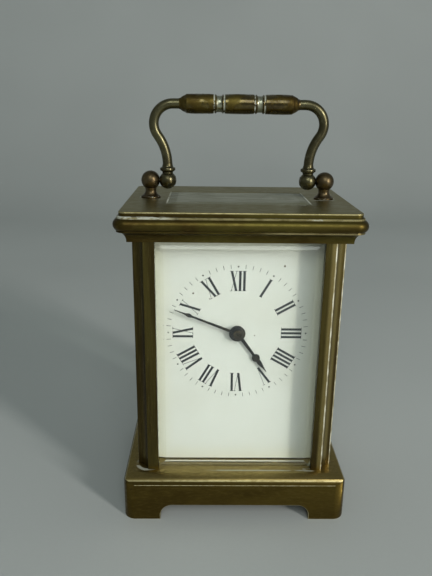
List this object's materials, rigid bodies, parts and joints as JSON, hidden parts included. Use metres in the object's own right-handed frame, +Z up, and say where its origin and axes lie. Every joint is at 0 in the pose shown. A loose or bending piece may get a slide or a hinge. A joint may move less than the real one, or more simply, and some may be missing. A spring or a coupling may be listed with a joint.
{
  "type": "travel clock",
  "caption": "Brass travel clock with corner posts, bevelled glass panes, a folding handle, a rear door and a spring-driven movement with a balance.",
  "frame": {"origin": "centre of the clock's outer box in X and Y, at the underside of the feet", "axes": "+X to the right as the dial is seen, -Y out of the dial, +Z up"},
  "size_m": [0.0856, 0.0666, 0.1564],
  "materials": {
    "case_brass": "aged brass with an olive brown patina",
    "movement_brass": "plain brushed brass",
    "bevelled_glass": "clear polished glass with bevelled edges",
    "dial_enamel": "ivory white enamel with dark numerals",
    "hand_steel": "dark blued steel",
    "steel": "plain bright steel"
  },
  "bodies": {
    "case": {"base": "case_brass", "post_front_left": "case_brass", "post_front_right": "case_brass", "post_rear_left": "case_brass", "post_rear_right": "case_brass", "cornice": "case_brass", "front_glass": "bevelled_glass", "left_glass": "bevelled_glass", "right_glass": "bevelled_glass", "top_glass": "bevelled_glass", "case_screws": "steel", "finial_left": "case_brass", "finial_right": "case_brass", "finial_nuts": "steel", "front_plate": "movement_brass", "back_plate": "movement_brass", "pillars": "movement_brass", "plate_screws": "steel", "movement_screws": "steel", "click_spring": "steel", "click_screws": "steel", "dial": "dial_enamel", "platform": "movement_brass", "platform_screws": "steel", "escape_bridge": "movement_brass", "balance_cock": "movement_brass", "hairspring": "steel"},
    "handle": {"handle_arm_left": "case_brass", "handle_arm_right": "case_brass", "handle_grip": "case_brass", "handle_pivots": "steel"},
    "door": {"door_frame": "case_brass", "door_glass": "bevelled_glass", "door_knob": "case_brass", "door_pins": "steel"},
    "barrel": {"barrel": "movement_brass", "barrel_cover": "movement_brass", "mainspring": "steel"},
    "winding": {"winding_arbor": "steel", "ratchet_wheel": "steel"},
    "click": {"click": "steel"},
    "intermediate": {"intermediate_wheel": "movement_brass", "intermediate_arbor": "steel"},
    "centre": {"centre_wheel": "movement_brass", "centre_pinion": "steel"},
    "third": {"third_wheel": "movement_brass", "third_arbor": "steel"},
    "contrate": {"contrate_wheel": "movement_brass", "contrate_arbor": "steel"},
    "escape": {"escape_wheel": "movement_brass"},
    "lever": {"lever": "steel"},
    "balance": {"balance": "movement_brass"},
    "regulator": {"regulator_index": "steel"},
    "minute_train": {"centre_arbor": "steel", "cannon_pinion": "steel", "minute_hand": "hand_steel", "hand_nut": "steel"},
    "motion_wheel": {"minute_wheel": "movement_brass"},
    "hour_train": {"hour_wheel": "movement_brass", "hour_hand": "hand_steel"}
  },
  "joints": [
    {"name": "handle_fold", "type": "hinge", "parent": "case", "child": "handle", "pos_m": [0, 0, 0.1255], "axis": [1, 0, 0], "range_deg": [-96, 96]},
    {"name": "door_swing", "type": "hinge", "parent": "case", "child": "door", "pos_m": [-0.0275, 0.0263, 0.0636], "axis": [0, 0, 1], "range_deg": [0, 95]},
    {"name": "barrel_turn", "type": "hinge", "parent": "case", "child": "barrel", "pos_m": [0, 0, 0.0396], "axis": [0, 1, 0], "continuous": true},
    {"name": "winding_turn", "type": "hinge", "parent": "case", "child": "winding", "pos_m": [0, 0, 0.0396], "axis": [0, 1, 0], "continuous": true, "deforming": ["mainspring"]},
    {"name": "click_lift", "type": "hinge", "parent": "case", "child": "click", "pos_m": [0.0085, 0, 0.04567], "axis": [0, 1, 0], "range_deg": [0, 12], "stiffness_Nm_per_rad": 0.001, "deforming": ["click_spring"]},
    {"name": "intermediate_turn", "type": "hinge", "parent": "case", "child": "intermediate", "pos_m": [-0.0037, 0, 0.05758], "axis": [0, 1, 0], "continuous": true},
    {"name": "centre_turn", "type": "hinge", "parent": "case", "child": "centre", "pos_m": [0, 0, 0.0728], "axis": [0, 1, 0], "continuous": true},
    {"name": "third_turn", "type": "hinge", "parent": "case", "child": "third", "pos_m": [0.01099, 0, 0.0688], "axis": [0, 1, 0], "continuous": true},
    {"name": "contrate_turn", "type": "hinge", "parent": "case", "child": "contrate", "pos_m": [0.01414, 0, 0.0773], "axis": [0, 1, 0], "continuous": true},
    {"name": "escape_turn", "type": "hinge", "parent": "case", "child": "escape", "pos_m": [0.01414, 0.0005, 0.0891], "axis": [0, 0, 1], "continuous": true},
    {"name": "lever_rock", "type": "hinge", "parent": "case", "child": "lever", "pos_m": [0.00924, 0.0005, 0.0891], "axis": [0, 0, 1], "range_deg": [-5, 5]},
    {"name": "balance_swing", "type": "hinge", "parent": "case", "child": "balance", "pos_m": [0.00244, 0.0005, 0.0931], "axis": [0, 0, 1], "range_deg": [-135, 135], "stiffness_Nm_per_rad": 0.000004, "deforming": ["hairspring"]},
    {"name": "regulator_turn", "type": "hinge", "parent": "case", "child": "regulator", "pos_m": [0.00244, 0.0005, 0.0971], "axis": [0, 0, 1], "range_deg": [-25, 25]},
    {"name": "minute_turn", "type": "hinge", "parent": "case", "child": "minute_train", "pos_m": [0, 0, 0.0728], "axis": [0, 1, 0], "continuous": true},
    {"name": "motion_turn", "type": "hinge", "parent": "case", "child": "motion_wheel", "pos_m": [-0.00509, 0, 0.06771], "axis": [0, 1, 0], "continuous": true},
    {"name": "hour_turn", "type": "hinge", "parent": "case", "child": "hour_train", "pos_m": [0, 0, 0.0728], "axis": [0, 1, 0], "continuous": true}
  ],
  "couplings": [
    {"joint": "centre_turn", "follows": "third_turn", "ratio": -0.125},
    {"joint": "intermediate_turn", "follows": "third_turn", "ratio": 0.02},
    {"joint": "barrel_turn", "follows": "third_turn", "ratio": -0.0026667},
    {"joint": "contrate_turn", "follows": "third_turn", "ratio": -7.5},
    {"joint": "escape_turn", "follows": "third_turn", "ratio": -75},
    {"joint": "motion_turn", "follows": "minute_turn", "ratio": -0.33333},
    {"joint": "hour_turn", "follows": "minute_turn", "ratio": 0.083333}
  ]
}
